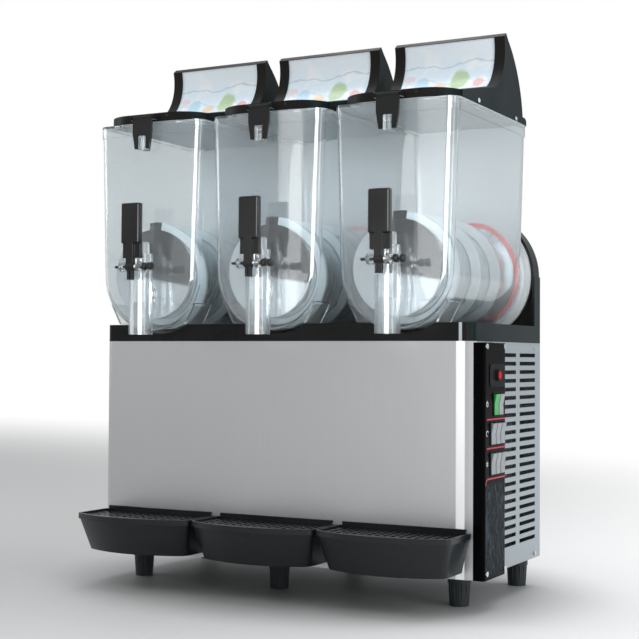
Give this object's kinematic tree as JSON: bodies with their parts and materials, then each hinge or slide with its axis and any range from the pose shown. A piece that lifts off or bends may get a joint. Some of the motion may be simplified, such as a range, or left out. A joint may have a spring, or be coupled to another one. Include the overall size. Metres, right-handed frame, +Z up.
{
  "type": "slush machine",
  "caption": "Countertop frozen drink machine with clear bowls over chilled drums, turning augers, lever taps, drip trays, hinged light-box lids and a side control box.",
  "frame": {"origin": "middle of the bottom of the machine's box, on the surface that its feet stand on", "axes": "+X to the machine's right as seen from its front, +Y towards its back, +Z up"},
  "size_m": [0.6258, 0.4494, 0.8075],
  "materials": {
    "front_steel": "brushed stainless sheet",
    "side_steel": "satin blue-grey sheet",
    "rear_steel": "satin blue-grey sheet",
    "pan_steel": "plain galvanised sheet",
    "deck_black": "fine satin moulding",
    "cover_black": "fine satin moulding",
    "bowl_clear": "clear polished polycarbonate",
    "lid_black": "satin black moulding",
    "light_picture": null,
    "latch_black": "satin black moulding",
    "handle_black": "satin black moulding",
    "piston_clear": "clear polished moulding",
    "spring_steel": "bright wire",
    "auger_grey": "pale grey polished moulding",
    "shaft_steel": "ground bar",
    "tray_black": "satin moulding",
    "grille_black": "satin moulding",
    "drum_steel": "polished stainless",
    "gasket_red": "smooth red silicone",
    "gearmotor_grey": "cast housing",
    "compressor_black": "black paint",
    "condenser_alloy": "bare fins",
    "fan_motor_grey": "grey paint",
    "fan_black": "moulded fan",
    "pipe_copper": "copper tube",
    "control_black": "gloss black facing",
    "rocker_green": "lit green rocker",
    "rocker_grey": "grey rocker",
    "gland_black": "moulded gland",
    "foot_black": "fluted moulded foot",
    "screw_steel": "bright screw heads"
  },
  "bodies": {
    "machine": {"base_pan": "pan_steel", "front_panel": "front_steel", "left_side_panel": "side_steel", "right_side_panel": "side_steel", "rear_panel": "rear_steel", "cord_gland": "gland_black", "deck": "deck_black", "rear_cover": "cover_black", "feet": "foot_black", "evaporator_drums": "drum_steel", "bowl_gaskets": "gasket_red", "gearmotors": "gearmotor_grey", "control_box": "control_black", "compressor": "compressor_black", "condenser": "condenser_alloy", "fan_motor": "fan_motor_grey", "refrigerant_pipes": "pipe_copper", "screws": "screw_steel"},
    "fan": {"fan_blade": "fan_black"},
    "bowl_left": {"bowl_left": "bowl_clear"},
    "lid_left": {"lid_left": "lid_black", "light_panel_left": "light_picture"},
    "latch_left": {"lid_latch_left": "latch_black"},
    "tap_handle_left": {"tap_handle_left": "handle_black", "tap_spring_left": "spring_steel"},
    "tap_piston_left": {"tap_piston_left": "piston_clear"},
    "auger_left": {"auger_left": "auger_grey", "drive_shaft_left": "shaft_steel"},
    "tray_left": {"drip_tray_left": "tray_black"},
    "grille_left": {"drip_grille_left": "grille_black"},
    "bowl_middle": {"bowl_middle": "bowl_clear"},
    "lid_middle": {"lid_middle": "lid_black", "light_panel_middle": "light_picture"},
    "latch_middle": {"lid_latch_middle": "latch_black"},
    "tap_handle_middle": {"tap_handle_middle": "handle_black", "tap_spring_middle": "spring_steel"},
    "tap_piston_middle": {"tap_piston_middle": "piston_clear"},
    "auger_middle": {"auger_middle": "auger_grey", "drive_shaft_middle": "shaft_steel"},
    "tray_middle": {"drip_tray_middle": "tray_black"},
    "grille_middle": {"drip_grille_middle": "grille_black"},
    "bowl_right": {"bowl_right": "bowl_clear"},
    "lid_right": {"lid_right": "lid_black", "light_panel_right": "light_picture"},
    "latch_right": {"lid_latch_right": "latch_black"},
    "tap_handle_right": {"tap_handle_right": "handle_black", "tap_spring_right": "spring_steel"},
    "tap_piston_right": {"tap_piston_right": "piston_clear"},
    "auger_right": {"auger_right": "auger_grey", "drive_shaft_right": "shaft_steel"},
    "tray_right": {"drip_tray_right": "tray_black"},
    "grille_right": {"drip_grille_right": "grille_black"},
    "power_switch": {"power_switch": "rocker_green"},
    "light_switch": {"light_switch": "rocker_grey"},
    "mixer_switch_left": {"mixer_switch_left": "rocker_grey"},
    "mixer_switch_middle": {"mixer_switch_middle": "rocker_grey"},
    "mixer_switch_right": {"mixer_switch_right": "rocker_grey"},
    "cooling_switch_left": {"cooling_switch_left": "rocker_grey"},
    "cooling_switch_middle": {"cooling_switch_middle": "rocker_grey"},
    "cooling_switch_right": {"cooling_switch_right": "rocker_grey"}
  },
  "joints": [
    {"name": "bowl_slide_left", "type": "slide", "parent": "machine", "child": "bowl_left", "axis": [0, -1, 0], "range_m": [0, 0.27]},
    {"name": "lid_hinge_left", "type": "hinge", "parent": "bowl_left", "child": "lid_left", "pos_m": [-0.2096, 0.1127, 0.6898], "axis": [-1, 0, 0], "range_deg": [0, 75]},
    {"name": "latch_hinge_left", "type": "hinge", "parent": "lid_left", "child": "latch_left", "pos_m": [-0.2096, -0.1773, 0.69015], "axis": [-1, 0, 0], "range_deg": [0, 60]},
    {"name": "handle_hinge_left", "type": "hinge", "parent": "bowl_left", "child": "tap_handle_left", "pos_m": [-0.2096, -0.2078, 0.467], "axis": [1, 0, 0], "range_deg": [0, 35], "stiffness_Nm_per_rad": 0.15, "springref_deg": -20.05},
    {"name": "piston_slide_left", "type": "slide", "parent": "bowl_left", "child": "tap_piston_left", "axis": [0, 0, 1], "range_m": [0, 0.0185]},
    {"name": "auger_spin_left", "type": "hinge", "parent": "machine", "child": "auger_left", "pos_m": [-0.2096, -0.1293, 0.459], "axis": [0, 1, 0], "continuous": true},
    {"name": "tray_slide_left", "type": "slide", "parent": "machine", "child": "tray_left", "axis": [0, -1, 0], "range_m": [0, 0.1]},
    {"name": "grille_lift_left", "type": "slide", "parent": "tray_left", "child": "grille_left", "axis": [0, 0, 1], "range_m": [0, 0.04]},
    {"name": "bowl_slide_middle", "type": "slide", "parent": "machine", "child": "bowl_middle", "axis": [0, -1, 0], "range_m": [0, 0.27]},
    {"name": "lid_hinge_middle", "type": "hinge", "parent": "bowl_middle", "child": "lid_middle", "pos_m": [-0.0096, 0.1127, 0.6898], "axis": [-1, 0, 0], "range_deg": [0, 75]},
    {"name": "latch_hinge_middle", "type": "hinge", "parent": "lid_middle", "child": "latch_middle", "pos_m": [-0.0096, -0.1773, 0.69015], "axis": [-1, 0, 0], "range_deg": [0, 60]},
    {"name": "handle_hinge_middle", "type": "hinge", "parent": "bowl_middle", "child": "tap_handle_middle", "pos_m": [-0.0096, -0.2078, 0.467], "axis": [1, 0, 0], "range_deg": [0, 35], "stiffness_Nm_per_rad": 0.15, "springref_deg": -20.05},
    {"name": "piston_slide_middle", "type": "slide", "parent": "bowl_middle", "child": "tap_piston_middle", "axis": [0, 0, 1], "range_m": [0, 0.0185]},
    {"name": "auger_spin_middle", "type": "hinge", "parent": "machine", "child": "auger_middle", "pos_m": [-0.0096, -0.1293, 0.459], "axis": [0, 1, 0], "continuous": true},
    {"name": "tray_slide_middle", "type": "slide", "parent": "machine", "child": "tray_middle", "axis": [0, -1, 0], "range_m": [0, 0.1]},
    {"name": "grille_lift_middle", "type": "slide", "parent": "tray_middle", "child": "grille_middle", "axis": [0, 0, 1], "range_m": [0, 0.04]},
    {"name": "bowl_slide_right", "type": "slide", "parent": "machine", "child": "bowl_right", "axis": [0, -1, 0], "range_m": [0, 0.27]},
    {"name": "lid_hinge_right", "type": "hinge", "parent": "bowl_right", "child": "lid_right", "pos_m": [0.1904, 0.1127, 0.6898], "axis": [-1, 0, 0], "range_deg": [0, 75]},
    {"name": "latch_hinge_right", "type": "hinge", "parent": "lid_right", "child": "latch_right", "pos_m": [0.1904, -0.1773, 0.69015], "axis": [-1, 0, 0], "range_deg": [0, 60]},
    {"name": "handle_hinge_right", "type": "hinge", "parent": "bowl_right", "child": "tap_handle_right", "pos_m": [0.1904, -0.2078, 0.467], "axis": [1, 0, 0], "range_deg": [0, 35], "stiffness_Nm_per_rad": 0.15, "springref_deg": -20.05},
    {"name": "piston_slide_right", "type": "slide", "parent": "bowl_right", "child": "tap_piston_right", "axis": [0, 0, 1], "range_m": [0, 0.0185]},
    {"name": "auger_spin_right", "type": "hinge", "parent": "machine", "child": "auger_right", "pos_m": [0.1904, -0.1293, 0.459], "axis": [0, 1, 0], "continuous": true},
    {"name": "tray_slide_right", "type": "slide", "parent": "machine", "child": "tray_right", "axis": [0, -1, 0], "range_m": [0, 0.1]},
    {"name": "grille_lift_right", "type": "slide", "parent": "tray_right", "child": "grille_right", "axis": [0, 0, 1], "range_m": [0, 0.04]},
    {"name": "fan_spin", "type": "hinge", "parent": "machine", "child": "fan", "pos_m": [0.2094, 0.0147, 0.1495], "axis": [1, 0, 0], "continuous": true},
    {"name": "power_switch_rock", "type": "hinge", "parent": "machine", "child": "power_switch", "pos_m": [0.3044, -0.0883, 0.2755], "axis": [0, 1, 0], "range_deg": [-10, 0]},
    {"name": "light_switch_rock", "type": "hinge", "parent": "machine", "child": "light_switch", "pos_m": [0.3044, -0.0708, 0.2755], "axis": [0, 1, 0], "range_deg": [-10, 0]},
    {"name": "mixer_switch_left_rock", "type": "hinge", "parent": "machine", "child": "mixer_switch_left", "pos_m": [0.3044, -0.0993, 0.2365], "axis": [0, 1, 0], "range_deg": [-10, 0]},
    {"name": "mixer_switch_middle_rock", "type": "hinge", "parent": "machine", "child": "mixer_switch_middle", "pos_m": [0.3044, -0.0818, 0.2365], "axis": [0, 1, 0], "range_deg": [-10, 0]},
    {"name": "mixer_switch_right_rock", "type": "hinge", "parent": "machine", "child": "mixer_switch_right", "pos_m": [0.3044, -0.0643, 0.2365], "axis": [0, 1, 0], "range_deg": [-10, 0]},
    {"name": "cooling_switch_left_rock", "type": "hinge", "parent": "machine", "child": "cooling_switch_left", "pos_m": [0.3044, -0.0993, 0.1965], "axis": [0, 1, 0], "range_deg": [-10, 0]},
    {"name": "cooling_switch_middle_rock", "type": "hinge", "parent": "machine", "child": "cooling_switch_middle", "pos_m": [0.3044, -0.0818, 0.1965], "axis": [0, 1, 0], "range_deg": [-10, 0]},
    {"name": "cooling_switch_right_rock", "type": "hinge", "parent": "machine", "child": "cooling_switch_right", "pos_m": [0.3044, -0.0643, 0.1965], "axis": [0, 1, 0], "range_deg": [-10, 0]}
  ],
  "couplings": [
    {"joint": "piston_slide_left", "follows": "handle_hinge_left", "m_per_rad": 0.0295},
    {"joint": "piston_slide_middle", "follows": "handle_hinge_middle", "m_per_rad": 0.0295},
    {"joint": "piston_slide_right", "follows": "handle_hinge_right", "m_per_rad": 0.0295}
  ]
}
